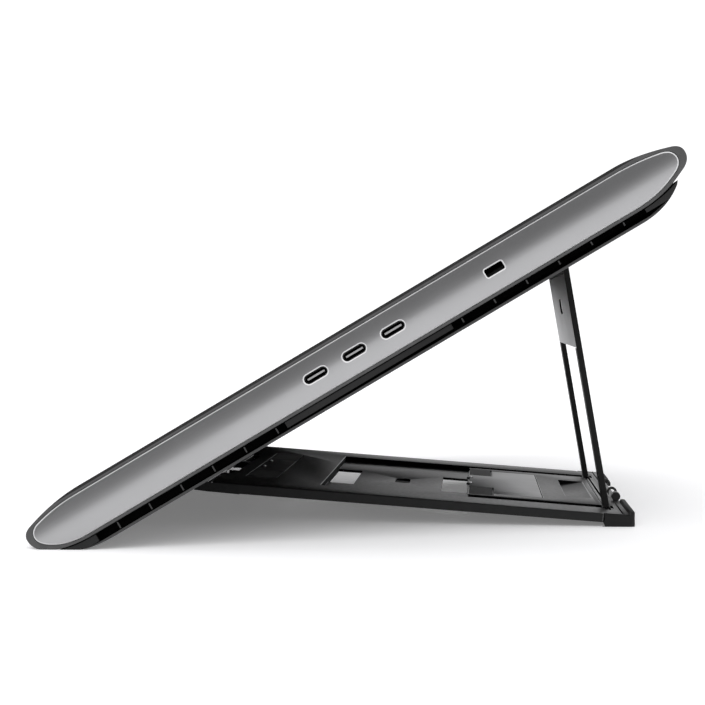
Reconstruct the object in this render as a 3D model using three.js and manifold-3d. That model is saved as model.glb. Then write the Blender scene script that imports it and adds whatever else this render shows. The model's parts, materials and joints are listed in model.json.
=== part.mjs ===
// A pen tablet computer standing on its own fold-out stand.
// The tablet leans on its front edge. A base plate is hinged to its back near the front, and a
// two-legged prop, hinged at the back of the base plate, holds the tablet's back up.
// Units are millimetres. +X runs from the front edge to the back, +Y to the user's left, +Z up.
import * as THREE from "three";
import { mergeVertices } from "three/addons/utils/BufferGeometryUtils.js";
import Module from "manifold-3d";

const wasm = await Module();
wasm.setup();

const DEG = Math.PI / 180;
const GAP = 0.3; // clearance between pieces that touch on the real object

// ---- Driving dimensions -------------------------------------------------------------------

const TILT = 30.68; // slope of the tablet, in degrees
const BASE_TILT = 4.36; // slope of the base plate, in degrees
const PROP_LEAN = 9.7; // lean of the prop from the vertical, in degrees
const TABLET_DEPTH = 262;
const TABLET_HALF_WIDTH = 209;
const TABLET_THICK = 21.4;
const TABLET_FRONT = -105.67; // puts the origin below the middle of the whole object
const REST_LINE = 10.5; // height, at the tip, of the sloped strip that lies on the table
const CHASSIS_BOTTOM = 4.1; // the chassis ends here, and the back cover takes over below it

const BASE_HALF_WIDTH = 115.5;
const BASE_TOP = 0.93; // top and bottom of the base plate, measured from the base hinge axis
const BASE_BOTTOM = -2.17;
const BASE_LENGTH = 162;
const HINGE_S = 49; // the base hinge lies on the tablet's back, this far from the front tip
const KNUCKLE = { inner: 66, radius: 2.6 }; // the plate's hinge knuckles run out to its sides
const BRACKET = { inner: 50, outer: 65.4 }; // the tablet's half of the hinge lies inside them
const PIN_HALF = 112;
const PIN_RADIUS = 1.25;
const PIN_BORE = 1.6;
const PROP_HINGE = { u: 157.6, m: -0.2 }; // the prop's hinge, in the base plate's own frame
const PROP_LENGTH = 97.6;

// The grey side panel's ports, along the tablet (s) and above its back (n).
const USB_PORTS = [115.3, 130.6, 146.0];
const LOCK_SLOT = { s: 186.2, n: 12.35, long: 7.0, high: 3.0 };
const LOCK_CORNER = 0.6;
const PORT_HEIGHT = 12.3;

// The stand folds up into this bay in the tablet's back.
const BAY = { s0: 43.5, s1: 215.4, halfWidth: 122, deep: 5.2 };
const TIP_BAY = { s0: 155, deep: 7.6 }; // its rear part is deeper, where the prop's tip swings through
const BAY_WALL = 1.5;

// ---- Solid helpers ------------------------------------------------------------------------

function solid(geometry) {
  geometry.deleteAttribute("normal");
  geometry.deleteAttribute("uv");
  const merged = mergeVertices(geometry, 1e-4);
  const mesh = new wasm.Mesh({
    numProp: 3,
    vertProperties: new Float32Array(merged.attributes.position.array),
    triVerts: new Uint32Array(merged.index.array),
  });
  return new wasm.Manifold(mesh);
}

function box([x0, x1], [y0, y1], [z0, z1]) {
  const geometry = new THREE.BoxGeometry(x1 - x0, y1 - y0, z1 - z0);
  geometry.translate((x0 + x1) / 2, (y0 + y1) / 2, (z0 + z1) / 2);
  return solid(geometry);
}

// An outline drawn in X and Z, swept along Y.
function sweepY(shape, y0, y1, curveSegments = 6) {
  const geometry = new THREE.ExtrudeGeometry(shape, {
    depth: y1 - y0,
    bevelEnabled: false,
    curveSegments,
  });
  geometry.rotateX(Math.PI / 2);
  geometry.translate(0, y1, 0);
  return solid(geometry);
}

// An outline drawn in X and Y, raised along Z.
function sweepZ(shape, z0, z1, curveSegments = 6) {
  const geometry = new THREE.ExtrudeGeometry(shape, {
    depth: z1 - z0,
    bevelEnabled: false,
    curveSegments,
  });
  geometry.translate(0, 0, z0);
  return solid(geometry);
}

// An outline drawn in Y and Z, swept along X.
function sweepX(shape, x0, x1, curveSegments = 6) {
  const geometry = new THREE.ExtrudeGeometry(shape, {
    depth: x1 - x0,
    bevelEnabled: false,
    curveSegments,
  });
  const yAxis = new THREE.Vector3(0, 1, 0);
  const zAxis = new THREE.Vector3(0, 0, 1);
  const xAxis = new THREE.Vector3(1, 0, 0);
  geometry.applyMatrix4(new THREE.Matrix4().makeBasis(yAxis, zAxis, xAxis));
  geometry.translate(x0, 0, 0);
  return solid(geometry);
}

function rodY(x, z, radius, y0, y1, sides = 16) {
  const geometry = new THREE.CylinderGeometry(radius, radius, y1 - y0, sides);
  geometry.translate(x, (y0 + y1) / 2, z);
  return solid(geometry);
}

function rodZ(x, y, radius, z0, z1, sides = 24) {
  const geometry = new THREE.CylinderGeometry(radius, radius, z1 - z0, sides);
  geometry.rotateX(Math.PI / 2);
  geometry.translate(x, y, (z0 + z1) / 2);
  return solid(geometry);
}

function polygon(points) {
  const shape = new THREE.Shape();
  shape.moveTo(...points[0]);
  points.slice(1).forEach((point) => shape.lineTo(...point));
  shape.closePath();
  return shape;
}

// A rectangle with rounded corners; its corner radius is half its shorter side unless given.
function rounded(cx, cy, wide, high, r = Math.min(wide, high) / 2) {
  const reachX = wide / 2 - r;
  const reachY = high / 2 - r;
  const quarter = Math.PI / 2;
  const shape = new THREE.Shape();
  shape.moveTo(cx - reachX, cy - reachY - r);
  shape.absarc(cx + reachX, cy - reachY, r, -quarter, 0, false);
  shape.absarc(cx + reachX, cy + reachY, r, 0, quarter, false);
  shape.absarc(cx - reachX, cy + reachY, r, quarter, 2 * quarter, false);
  shape.absarc(cx - reachX, cy - reachY, r, 2 * quarter, 3 * quarter, false);
  return shape;
}

function join(...solids) {
  return solids.reduce((all, next) => all.add(next));
}

function cut(body, ...tools) {
  return tools.reduce((left, tool) => left.subtract(tool), body);
}

// ---- Materials ----------------------------------------------------------------------------

const onBothSides = (low, high) => [
  [low, high],
  [-high, -low],
];

function material(color, roughness, metalness = 0) {
  return new THREE.MeshStandardMaterial({ color, roughness, metalness });
}

const ALUMINIUM = material(0x8f9092, 0.42, 0.9);
const PLATE_GREY = material(0x97989a, 0.45, 0.8);
const DARK_METAL = material(0x232325, 0.45, 0.6);
const BLACK_PLASTIC = material(0x161618, 0.55);
const DARK_PLASTIC = material(0x2b2b2d, 0.6);
const PAD_RUBBER = material(0x1b1b1c, 0.85);
const GLASS = material(0x08090b, 0.12);
const STEEL = material(0xc2c4c6, 0.3, 1);
const BOARD = material(0x1d3a2a, 0.7);
const CELL = material(0x3a3d42, 0.5);
const COPPER = material(0xb4714a, 0.35, 1);

function piece(group, name, body, finish) {
  const data = body.getMesh();
  const geometry = new THREE.BufferGeometry();
  geometry.setAttribute("position", new THREE.BufferAttribute(data.vertProperties, 3));
  geometry.setIndex(new THREE.BufferAttribute(data.triVerts, 1));
  geometry.computeVertexNormals();
  const mesh = new THREE.Mesh(geometry, finish);
  mesh.name = name;
  group.add(mesh);
}

// ---- Tablet: s runs from the front tip along the tablet, n up from its back ---------------

const SLOPE = Math.tan(TILT * DEG);
const restLine = (s) => REST_LINE - SLOPE * s;

function chassisOutline() {
  const shape = new THREE.Shape();
  shape.moveTo(7, restLine(7));
  shape.lineTo(3.4, restLine(3.4));
  shape.quadraticCurveTo(0, 10.2, 0, 14.4);
  shape.quadraticCurveTo(0.3, 16.6, 3, 17.6);
  shape.quadraticCurveTo(14.5, TABLET_THICK, 25, TABLET_THICK);
  shape.lineTo(238.4, TABLET_THICK);
  shape.quadraticCurveTo(247.5, 21.3, 259, 17.5);
  shape.quadraticCurveTo(TABLET_DEPTH, 16.4, TABLET_DEPTH, 13.8);
  shape.quadraticCurveTo(TABLET_DEPTH, 10.8, 258.8, 9.1);
  shape.lineTo(254.8, 7.3);
  shape.quadraticCurveTo(247.5, CHASSIS_BOTTOM, 238, CHASSIS_BOTTOM);
  shape.lineTo(21, CHASSIS_BOTTOM);
  shape.quadraticCurveTo(12.5, CHASSIS_BOTTOM, 7, restLine(7));
  return shape;
}

function coverOutline() {
  const top = CHASSIS_BOTTOM - GAP;
  const shape = new THREE.Shape();
  shape.moveTo(8.1, restLine(8.1));
  shape.lineTo(13.6, restLine(13.6));
  shape.quadraticCurveTo(18, 0, 28.5, 0);
  shape.lineTo(238, 0);
  shape.quadraticCurveTo(247.5, 0.2, 254, 5.4);
  shape.lineTo(255, 6.7);
  shape.lineTo(253.4, 6.1);
  shape.quadraticCurveTo(247, top, 238, top);
  shape.lineTo(21, top);
  shape.quadraticCurveTo(12.8, top, 8.1, restLine(8.1));
  return shape;
}

// The grey end panel's outline; grow makes it larger all round, for its pocket.
function panelOutline(grow) {
  const top = 19.2 + grow;
  const bottom = 5.75 - grow;
  const front = 3.2 - grow;
  const rear = 258.4 + grow;
  const shape = new THREE.Shape();
  shape.moveTo(20, bottom);
  shape.lineTo(238, bottom);
  shape.quadraticCurveTo(246.5, bottom, 253.6 + 0.5 * grow, 8.8 - grow);
  shape.quadraticCurveTo(rear, 10.6 - grow, rear, 13.4);
  shape.quadraticCurveTo(rear, 16.3 + grow, 254.6 + 0.5 * grow, 17.3 + grow);
  shape.quadraticCurveTo(246, top, 236, top);
  shape.lineTo(22, top);
  shape.quadraticCurveTo(13.5, top, 5.6 - 0.5 * grow, 16.8 + grow);
  shape.quadraticCurveTo(front - 0.6, 15.6, front, 12.6);
  shape.quadraticCurveTo(3.9 - grow, 10.3 - grow, 8.2 - 0.5 * grow, 8 - grow);
  shape.quadraticCurveTo(12.6, bottom, 20, bottom);
  return shape;
}

const GLASS_EDGE = { s0: 25, s1: 238.4, halfWidth: 203, under: 20.3 };
const SCREEN_BAY = { s0: 30.5, s1: 232.9, halfWidth: 197, floor: 16.2 };
const HOLLOW = { s0: 14, s1: 248, halfWidth: 205.5, top: 15 };
const PANEL_INNER = 207.6; // inner face of the end panels
const POCKET_FLOOR = 207.3; // floor of the pockets that hold them

// Side buttons on the user's left: they sit in the left panel and travel inwards.
const BUTTONS = [
  { name: "power_button", s: 215, long: 12 },
  { name: "volume_up_button", s: 190, long: 9 },
  { name: "volume_down_button", s: 178, long: 9 },
];
const BUTTON_HIGH = 3;

function chassisFrame() {
  const half = TABLET_HALF_WIDTH;
  const hollow = box([HOLLOW.s0, HOLLOW.s1], [-HOLLOW.halfWidth, HOLLOW.halfWidth], [2, HOLLOW.top]);
  const glassPocket = box(
    [GLASS_EDGE.s0 - GAP, GLASS_EDGE.s1 + GAP],
    [-GLASS_EDGE.halfWidth - GAP, GLASS_EDGE.halfWidth + GAP],
    [GLASS_EDGE.under - GAP, 23],
  );
  const screenBay = box(
    [SCREEN_BAY.s0, SCREEN_BAY.s1],
    [-SCREEN_BAY.halfWidth, SCREEN_BAY.halfWidth],
    [SCREEN_BAY.floor, 23],
  );
  const pocketRight = sweepY(panelOutline(GAP), -half - 1, -POCKET_FLOOR);
  const pocketLeft = sweepY(panelOutline(GAP), POCKET_FLOOR, half + 1);
  const portHoles = USB_PORTS.map((s) =>
    box([s - 5.2, s + 5.2], [-half, -HOLLOW.halfWidth + 1], [PORT_HEIGHT - 2.4, PORT_HEIGHT + 2.4]),
  );
  const lockHole = box(
    [LOCK_SLOT.s - 5.6, LOCK_SLOT.s + 5.6],
    [-half, -HOLLOW.halfWidth + 1],
    [LOCK_SLOT.n - 2.4, LOCK_SLOT.n + 2.4],
  );
  const buttonHoles = BUTTONS.map(({ s, long }) =>
    box(
      [s - long / 2 - 1, s + long / 2 + 1],
      [HOLLOW.halfWidth - 1, half],
      [PORT_HEIGHT - 2.4, PORT_HEIGHT + 2.4],
    ),
  );
  const body = sweepY(chassisOutline(), -half, half);
  return cut(
    body,
    hollow,
    glassPocket,
    screenBay,
    pocketRight,
    pocketLeft,
    ...portHoles,
    lockHole,
    ...buttonHoles,
  );
}

// The vents are two rows of windows in each side wall of the cover, with thin ribs between them.
const VENT_ROWS = [
  { from: 21.8, to: 97.7, firstRib: 30.3 },
  { from: 164, to: 240.3, firstRib: 168.1 },
];
const RIB_PITCH = 12.75;
const RIB_THICK = 0.7;
const COVER_WALL = 1.1;
const VENT_SCREEN = { s: [20, 242], y: [203.6, 204.6], n: [0.6, 9] }; // a dust screen behind each row

function ventWindows(side) {
  const windows = [];
  const y = side > 0 ? [205, 210] : [-210, -205];
  VENT_ROWS.forEach(({ from, to, firstRib }) => {
    let start = from;
    for (let rib = firstRib; rib < to; rib += RIB_PITCH) {
      windows.push(box([start, rib - RIB_THICK / 2], y, [COVER_WALL, 5]));
      start = rib + RIB_THICK / 2;
    }
    windows.push(box([start, to], y, [COVER_WALL, 5]));
  });
  return windows;
}

function backCover() {
  const half = TABLET_HALF_WIDTH;
  const shell = sweepY(coverOutline(), -half, half);
  const inside = box([15, 247], [-half + 2, half - 2], [COVER_WALL, 9]);
  const { s0, s1, halfWidth, deep } = BAY;
  const blockSpan = [-halfWidth - BAY_WALL, halfWidth + BAY_WALL];
  const bayBlock = join(
    box([s0 - BAY_WALL, s1 + BAY_WALL], blockSpan, [0.5, deep + 1]),
    box([TIP_BAY.s0 - BAY_WALL, s1 + BAY_WALL], blockSpan, [0.5, TIP_BAY.deep + 1]),
  );
  const bay = join(
    box([s0, s1], [-halfWidth, halfWidth], [-1, deep]),
    box([TIP_BAY.s0, s1], [-halfWidth, halfWidth], [-1, TIP_BAY.deep]),
  );
  const screens = onBothSides(...VENT_SCREEN.y).map((y) => box(VENT_SCREEN.s, y, VENT_SCREEN.n));
  const open = cut(shell, inside);
  return cut(join(open, bayBlock, ...screens), bay, ...ventWindows(1), ...ventWindows(-1));
}

function sidePanel(side) {
  const y0 = side > 0 ? PANEL_INNER : -TABLET_HALF_WIDTH;
  return sweepY(panelOutline(0), y0, y0 + TABLET_HALF_WIDTH - PANEL_INNER);
}

function rightPanel() {
  const holes = USB_PORTS.map((s) => sweepY(rounded(s, PORT_HEIGHT, 8.9, 3.3), -212, -205, 3));
  const { s, n, long, high } = LOCK_SLOT;
  const lock = sweepY(rounded(s, n, long, high, LOCK_CORNER), -212, -205, 2);
  return cut(sidePanel(-1), ...holes, lock);
}

function leftPanel() {
  const holes = BUTTONS.map(({ s, long }) =>
    sweepY(rounded(s, PORT_HEIGHT, long + 2 * GAP, BUTTON_HIGH + 2 * GAP), 205, 212, 3),
  );
  return cut(sidePanel(1), ...holes);
}

function sideButton({ s, long }) {
  const stem = box([s - 3, s + 3], [206, 207.5], [PORT_HEIGHT - 1, PORT_HEIGHT + 1]);
  return join(sweepY(rounded(s, PORT_HEIGHT, long, BUTTON_HIGH), 207.2, 209, 3), stem);
}

function usbShell(s) {
  const outer = sweepY(rounded(s, PORT_HEIGHT, 8.6, 3.0), -208.5, -201, 3);
  const inner = sweepY(rounded(s, PORT_HEIGHT, 8.0, 2.4), -210, -202, 3);
  return cut(outer, inner);
}

function lockInsert() {
  const { s, n } = LOCK_SLOT;
  const outer = box([s - 5.2, s + 5.2], [-207.2, -202.4], [n - 2.1, n + 2.1]);
  const inner = box([s - 3.5, s + 3.5], [-209, -203.4], [n - 1.5, n + 1.5]);
  return cut(outer, inner);
}

const FAN = { s0: 172, s1: 236, y0: 134, y1: 198, n0: 7, n1: 12.2, throat: 25 };

function fanHousing(side) {
  const y = side > 0 ? [FAN.y0, FAN.y1] : [-FAN.y1, -FAN.y0];
  const centre = { s: (FAN.s0 + FAN.s1) / 2, y: (side * (FAN.y0 + FAN.y1)) / 2 };
  const shell = box([FAN.s0, FAN.s1], y, [FAN.n0, FAN.n1]);
  const well = rodZ(centre.s, centre.y, FAN.throat + 3, FAN.n0 + 0.8, FAN.n1 + 1, 32);
  const exhaustY = side > 0 ? [centre.y, FAN.y1 + 1] : [-FAN.y1 - 1, centre.y];
  const exhaust = box([centre.s - 20, centre.s + 20], exhaustY, [FAN.n0 + 0.8, FAN.n1 + 1]);
  return cut(shell, well, exhaust);
}

const CATCH = { s: 214.3, thick: 0.8, low: -0.3, high: 7.3, flange: 5, halfWidth: 90 };

const BLADES = 11;

function fanRotor() {
  let rotor = rodZ(0, 0, 9, 0, 3.4, 20);
  for (let i = 0; i < BLADES; i += 1) {
    const blade = new THREE.BoxGeometry(16.5, 0.8, 2.8);
    blade.translate(16, 0, 1.7);
    blade.rotateZ((2 * Math.PI * i) / BLADES);
    rotor = rotor.add(solid(blade));
  }
  return rotor;
}

function hingeBracket(side) {
  const { inner, outer } = BRACKET;
  const y = side > 0 ? [inner, outer] : [-outer, -inner];
  const barrel = rodY(HINGE_S, 0, KNUCKLE.radius, ...y);
  const plate = box([HINGE_S - 2.4, HINGE_S + 4], y, [1, BAY.deep - GAP]);
  const bore = rodY(HINGE_S, 0, PIN_BORE, y[0] - 1, y[1] + 1);
  return cut(join(barrel, plate), bore);
}

// The angle that lines the rear wall of the bay, where the prop's tip stops against it.
function catchBracket() {
  const { s, thick, low, high, flange, halfWidth } = CATCH;
  const outline = polygon([
    [s, low],
    [s + thick, low],
    [s + thick, high],
    [s - flange, high],
    [s - flange, high - thick],
    [s, high - thick],
  ]);
  return sweepY(outline, -halfWidth, halfWidth);
}

// Flat pieces inside the tablet, each centred across its width.
const INNER_LAYERS = [
  { name: "display_panel", s: [33, 230.4], half: 195, n: [17.8, 20], finish: BLACK_PLASTIC },
  { name: "digitizer_board", s: [34, 229.4], half: 192, n: [16.5, 17.5], finish: BOARD },
  { name: "mainboard", s: [100, 235], half: 92, n: [13, 14.4], finish: BOARD },
  { name: "heat_pipe", s: [212, 220], half: 128, n: [10.4, 12.4], finish: COPPER },
];
const CELL_SPAN = { s: [20, 90], inner: 6, outer: 198, n: [7.2, 13.4] };

function buildTablet(tablet) {
  piece(tablet, "chassis_frame", chassisFrame(), DARK_METAL);
  piece(tablet, "back_cover", backCover(), BLACK_PLASTIC);
  piece(tablet, "side_panel_right", rightPanel(), ALUMINIUM);
  piece(tablet, "side_panel_left", leftPanel(), ALUMINIUM);
  const { s0, s1, halfWidth, under } = GLASS_EDGE;
  piece(tablet, "front_glass", box([s0, s1], [-halfWidth, halfWidth], [under, TABLET_THICK]), GLASS);
  INNER_LAYERS.forEach(({ name, s, half, n, finish }) =>
    piece(tablet, name, box(s, [-half, half], n), finish),
  );
  piece(tablet, "catch_bracket", catchBracket(), DARK_METAL);
  USB_PORTS.forEach((s, i) => {
    const tongueHigh = [PORT_HEIGHT - 0.35, PORT_HEIGHT + 0.35];
    const tongue = box([s - 3.35, s + 3.35], [-207.8, -202.3], tongueHigh);
    piece(tablet, `usb_c_shell_${i + 1}`, usbShell(s), STEEL);
    piece(tablet, `usb_c_tongue_${i + 1}`, tongue, BLACK_PLASTIC);
  });
  piece(tablet, "lock_slot_insert", lockInsert(), STEEL);
  BUTTONS.forEach((button) => piece(tablet, button.name, sideButton(button), DARK_METAL));
  [-1, 1].forEach((side) => {
    const word = side < 0 ? "right" : "left";
    const cellY = side < 0 ? [-CELL_SPAN.outer, -CELL_SPAN.inner] : [CELL_SPAN.inner, CELL_SPAN.outer];
    piece(tablet, `battery_pack_${word}`, box(CELL_SPAN.s, cellY, CELL_SPAN.n), CELL);
    piece(tablet, `fan_housing_${word}`, fanHousing(side), BLACK_PLASTIC);
    piece(tablet, `hinge_bracket_${word}`, hingeBracket(side), STEEL);
    const spin = new THREE.Group();
    spin.position.set((FAN.s0 + FAN.s1) / 2, (side * (FAN.y0 + FAN.y1)) / 2, FAN.n0 + 1.2);
    tablet.add(spin);
    piece(spin, `fan_rotor_${word}`, fanRotor(), BLACK_PLASTIC);
  });
}

// ---- Base plate: u runs back from the base hinge, m up, square to the plate ----------------

const LEG = { inner: 76, outer: 88, thick: 2.3, cheek: 0.6 };
const LEG_GROOVE = [LEG.inner - 0.7, LEG.outer + 0.7];
const RECESS_FLOOR = -1.65;
const RECESS = { u0: 44.1, u1: 102.8 };
const FRONT_HOLE = { u0: 44.1, u1: 54.7, halfWidth: 39 };
const REAR_HOLE = { u0: 91.3, u1: 102.3, halfWidth: 39 };
const BASE_SLOT = { u: 74.2, long: 24, wide: 6.2 };
const BACKING_THICK = 0.5; // a rubber strip closes the slot from below
const TONGUE_THICK = 0.6;
const TONGUE_HALF = 32;
const PANEL_HALF = 63;
const PAD_OUTER = 72;
const REAR_TONGUE = { u0: 103.1, u1: 112.9, u2: 132.8 };
const FRONT_TONGUE = { u0: 13, u1: 25 };
const POCKET = { front: 142.9, rear: 154, deep: -1.75, shallow: 0.7, halfWidth: 46 };
const SCREW = { radius: 1.4, high: 0.9, inset: 2.6, y: 18 };
const FOOT_INNER = 56.5;
const REAR_EDGE = 165; // the plate's tail between the feet

function basePlate() {
  const half = BASE_HALF_WIDTH;
  const thick = [BASE_BOTTOM, BASE_TOP];
  const through = [BASE_BOTTOM - 1, BASE_TOP + 1];
  const deck = [RECESS_FLOOR, BASE_TOP + 2];
  const inlay = [BASE_TOP - TONGUE_THICK - GAP, BASE_TOP + 1];
  const blank = join(
    box([3.4, 154.6], [-half, half], thick),
    box([154, BASE_LENGTH], [-113, 113], thick),
    box([BASE_LENGTH - 1, REAR_EDGE], [-FOOT_INNER + GAP, FOOT_INNER - GAP], thick),
  );
  const knuckles = onBothSides(KNUCKLE.inner, half).map((y) =>
    join(rodY(0, 0, KNUCKLE.radius, ...y), box([0, 4], y, [-2.1, 0.9])),
  );
  const pinBores = onBothSides(KNUCKLE.inner - 1, PIN_HALF + 2).map((y) => rodY(0, 0, PIN_BORE, ...y));
  const bracketNotches = onBothSides(BRACKET.inner - 0.4, KNUCKLE.inner - GAP).map((y) =>
    box([2, 6], y, through),
  );
  const frontNotches = onBothSides(5, 49).map((y) => box([2, 7.2], y, through));
  const grooves = onBothSides(...LEG_GROOVE).map((y) => box([RECESS.u0, 155.5], y, deck));
  const eyeHoles = onBothSides(...LEG_GROOVE).map((y) => box([154.8, 160.4], y, through));
  const rodChannel = box([156.3, 158.9], [-97, 97], [-1.5, 3]);
  const recess = box([RECESS.u0, RECESS.u1], [-LEG_GROOVE[1], LEG_GROOVE[1]], deck);
  const holes = [FRONT_HOLE, REAR_HOLE].map(({ u0, u1, halfWidth }) =>
    box([u0, u1], [-halfWidth, halfWidth], through),
  );
  const slot = sweepZ(rounded(BASE_SLOT.u, 0, BASE_SLOT.wide, BASE_SLOT.long), ...through, 3);
  const rearInlay = join(
    box([RECESS.u1 - 1, REAR_TONGUE.u1 + GAP], [-PAD_OUTER - GAP, PAD_OUTER + GAP], inlay),
    box([REAR_TONGUE.u1, REAR_TONGUE.u2 + GAP], [-PANEL_HALF - GAP, PANEL_HALF + GAP], inlay),
  );
  const frontInlay = box(
    [FRONT_TONGUE.u0 - GAP, FRONT_TONGUE.u1 + GAP],
    [-PAD_OUTER - GAP, PAD_OUTER + GAP],
    inlay,
  );
  const pocket = sweepY(
    polygon([
      [POCKET.front, POCKET.deep],
      [POCKET.rear, POCKET.shallow],
      [POCKET.rear, BASE_TOP + 1],
      [POCKET.front, BASE_TOP + 1],
    ]),
    -POCKET.halfWidth,
    POCKET.halfWidth,
  );
  return cut(
    join(blank, ...knuckles),
    ...pinBores,
    ...bracketNotches,
    ...frontNotches,
    ...grooves,
    ...eyeHoles,
    rodChannel,
    recess,
    ...holes,
    slot,
    rearInlay,
    frontInlay,
    pocket,
  );
}

// A rear foot wraps the plate's corner: a sole under it, a wall behind it and a cheek outside it.
// It is drawn level, in the same frame as the table.
const FOOT = { x0: 91.1, x1: 102.7, high: 5.1, lip: 5.7, sole: 1.3 };

function rearFoot(side) {
  const along = [FOOT.x0, FOOT.x1];
  const span = side > 0 ? [FOOT_INNER, BASE_HALF_WIDTH] : [-BASE_HALF_WIDTH, -FOOT_INNER];
  const cheekSpan = side > 0 ? [113.3, BASE_HALF_WIDTH] : [-BASE_HALF_WIDTH, -113.3];
  const sole = box(along, span, [0, FOOT.sole]);
  const wall = box([along[1] - 4, along[1]], span, [0, FOOT.high]);
  const lip = box([along[1] - 1.4, along[1]], span, [0, FOOT.lip]);
  const cheek = box(along, cheekSpan, [0, FOOT.high]);
  return join(sole, wall, lip, cheek);
}

// Spring clips on the plate's tail, each an arch that stands proud of the plate.
const CLIP_U = 163;
const CLIP = { outer: 2.2, inner: 1.2, rise: 1.4, half: 1.2 };

function springClip(y) {
  const shape = new THREE.Shape();
  const foot = BASE_TOP + GAP;
  const centre = foot + CLIP.rise;
  const heel = foot + 0.6;
  shape.moveTo(CLIP_U - CLIP.outer, foot);
  shape.absarc(CLIP_U, centre, CLIP.outer, Math.PI, 0, true);
  shape.lineTo(CLIP_U + CLIP.outer, heel);
  shape.lineTo(CLIP_U + CLIP.inner, heel);
  shape.absarc(CLIP_U, centre, CLIP.inner, 0, Math.PI, false);
  shape.lineTo(CLIP_U - CLIP.inner, foot);
  shape.closePath();
  return sweepY(shape, y - CLIP.half, y + CLIP.half, 4);
}

function roundClip(y) {
  const span = [y - 3, y + 3];
  const knob = rodY(CLIP_U, BASE_TOP + 2.1, 1.8, ...span);
  const stem = box([CLIP_U - 1, CLIP_U + 1], span, [BASE_TOP + GAP, BASE_TOP + 1.1]);
  return join(knob, stem);
}

function buildBase(base) {
  const inlay = [BASE_TOP - TONGUE_THICK, BASE_TOP];
  const { u0, u1, u2 } = REAR_TONGUE;
  const rearPanel = join(
    box([u0, u1 + 1], [-TONGUE_HALF, TONGUE_HALF], inlay),
    box([u1 + GAP, u2], [-PANEL_HALF, PANEL_HALF], inlay),
  );
  const frontSpan = [FRONT_TONGUE.u0, FRONT_TONGUE.u1];
  piece(base, "base_plate", basePlate(), DARK_METAL);
  const { u, wide, long } = BASE_SLOT;
  const backing = box(
    [u - wide / 2 - 2, u + wide / 2 + 2],
    [-long / 2 - 2, long / 2 + 2],
    [BASE_BOTTOM - GAP - BACKING_THICK, BASE_BOTTOM - GAP],
  );
  piece(base, "slot_backing", backing, PAD_RUBBER);
  piece(base, "base_hinge_pin", rodY(0, 0, PIN_RADIUS, -PIN_HALF, PIN_HALF, 12), STEEL);
  piece(base, "rear_tongue_panel", rearPanel, PLATE_GREY);
  piece(base, "front_tongue_panel", box(frontSpan, [-TONGUE_HALF, TONGUE_HALF], inlay), DARK_PLASTIC);
  piece(base, "prop_hinge_rod", rodY(PROP_HINGE.u, PROP_HINGE.m, 0.9, -96.5, 96.5, 10), STEEL);
  piece(base, "spring_clip_middle", springClip(-25), DARK_METAL);
  piece(base, "spring_clip_left", springClip(20), DARK_METAL);
  piece(base, "spring_clip_right", roundClip(-51), DARK_METAL);
  [-1, 1].forEach((side) => {
    const word = side < 0 ? "right" : "left";
    const low = side < 0 ? -PAD_OUTER : TONGUE_HALF + GAP;
    const padSpan = [low, low + PAD_OUTER - TONGUE_HALF - GAP];
    piece(base, `rear_pad_${word}`, box([u0, u1 - GAP], padSpan, inlay), PAD_RUBBER);
    piece(base, `front_pad_${word}`, box(frontSpan, padSpan, inlay), PAD_RUBBER);
    const screwSpan = [BASE_TOP + GAP, BASE_TOP + SCREW.high];
    const rear = rodZ(u0 + SCREW.inset, side * SCREW.y, SCREW.radius, ...screwSpan, 12);
    const front = rodZ(frontSpan[0] + SCREW.inset, side * SCREW.y, SCREW.radius, ...screwSpan, 12);
    piece(base, `rear_screw_${word}`, rear, STEEL);
    piece(base, `front_screw_${word}`, front, STEEL);
  });
}

// ---- Prop: its own Z runs up the legs from the hinge rod -----------------------------------

const CROSS_PLATE = { z0: 65.2, z1: 94.9, thick: 0.9, slotZ: 82, slotLong: 24, slotWide: 6.5 };
const TOP_STRIP = { half: 74, z: 96.3 }; // the middle of its top edge reaches up to the tablet's back
const EYE_RADIUS = 1.9;
const EYE_BORE = 1.25;

// A flat bar with an eye at its foot. Its front is stepped back where the cross plate lies on it,
// and a thin cheek on its outer side covers the end of that plate.
function propLeg(side) {
  const y = side > 0 ? [LEG.inner, LEG.outer] : [-LEG.outer, -LEG.inner];
  const front = -LEG.thick / 2;
  const bar = box([front, -front], y, [0, PROP_LENGTH]);
  const eye = rodY(0, 0, EYE_RADIUS, ...y);
  const bore = rodY(0, 0, EYE_BORE, y[0] - 1, y[1] + 1, 12);
  const seat = box(
    [front - 1, front + CROSS_PLATE.thick + GAP],
    side > 0 ? [y[0] - 1, y[1] - LEG.cheek] : [y[0] + LEG.cheek, y[1] + 1],
    [CROSS_PLATE.z0 - GAP, CROSS_PLATE.z1 + GAP],
  );
  return cut(join(bar, eye), bore, seat);
}

function crossPlate() {
  const { z0, z1, thick, slotZ, slotLong, slotWide } = CROSS_PLATE;
  const front = -LEG.thick / 2;
  const half = LEG.outer - LEG.cheek - GAP;
  const outline = polygon([
    [-half, z0],
    [half, z0],
    [half, z1],
    [TOP_STRIP.half, z1],
    [TOP_STRIP.half, TOP_STRIP.z],
    [-TOP_STRIP.half, TOP_STRIP.z],
    [-TOP_STRIP.half, z1],
    [-half, z1],
  ]);
  outline.holes.push(rounded(0, slotZ, slotLong, slotWide));
  return sweepX(outline, front, front + thick, 3);
}

function buildProp(prop) {
  piece(prop, "prop_leg_right", propLeg(-1), BLACK_PLASTIC);
  piece(prop, "prop_leg_left", propLeg(1), BLACK_PLASTIC);
  piece(prop, "prop_cross_plate", crossPlate(), PLATE_GREY);
}

// ---- Assembly -----------------------------------------------------------------------------

const part = new THREE.Group();

const tablet = new THREE.Group();
tablet.rotation.y = -TILT * DEG;
tablet.position.set(TABLET_FRONT, 0, -REST_LINE * Math.cos(TILT * DEG));
part.add(tablet);
buildTablet(tablet);

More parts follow.
